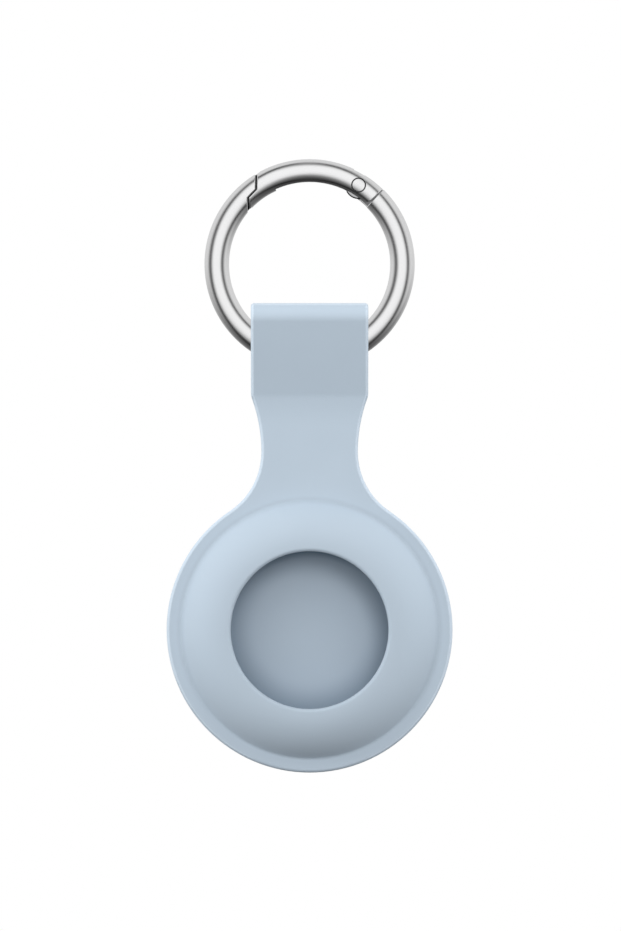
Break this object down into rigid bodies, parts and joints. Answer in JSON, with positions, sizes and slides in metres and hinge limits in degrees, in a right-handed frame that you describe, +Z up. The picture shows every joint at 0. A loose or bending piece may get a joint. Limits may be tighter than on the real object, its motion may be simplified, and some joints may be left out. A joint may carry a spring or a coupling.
{
  "type": "tracker tag holder",
  "caption": "Silicone holder for a coin-shaped tracker tag: lipped pocket with a round window, neck and strap loop, hung on a round metal ring with an inward spring gate.",
  "frame": {"origin": "centre of the ring, on the mid-plane of its bar", "axes": "+X right, +Y to the back, +Z up as it hangs; the pocket's window faces -Y"},
  "size_m": [0.04, 0.0106, 0.0858],
  "materials": {
    "silicone": "soft matt silicone, pale blue",
    "satin_steel": "satin plated",
    "rivet_steel": "satin, ground flush",
    "spring_steel": "bright drawn wire"
  },
  "bodies": {
    "ring": {"ring_body": "satin_steel"},
    "gate": {"gate_arm": "satin_steel", "pivot_pin": "rivet_steel", "gate_spring": "spring_steel"},
    "plunger": {"spring_plunger": "spring_steel"},
    "holder": {"silicone_holder": "silicone"}
  },
  "joints": [
    {"name": "gate_hinge", "type": "hinge", "parent": "ring", "child": "gate", "pos_m": [0.00685, 0, 0.01105], "axis": [0, -1, 0], "range_deg": [0, 40], "stiffness_Nm_per_rad": 0.006, "springref_deg": -57.3},
    {"name": "plunger_slide", "type": "slide", "parent": "gate", "child": "plunger", "axis": [-0.9461, 0, 0.3239], "range_m": [0, 0.00036], "deforming": ["gate_spring"]},
    {"name": "holder_swing", "type": "hinge", "parent": "ring", "child": "holder", "pos_m": [0, 0, -0.0124], "axis": [1, 0, 0], "range_deg": [-30, 30]}
  ],
  "couplings": [
    {"joint": "plunger_slide", "follows": "gate_hinge", "m_per_rad": 0.00050134}
  ]
}
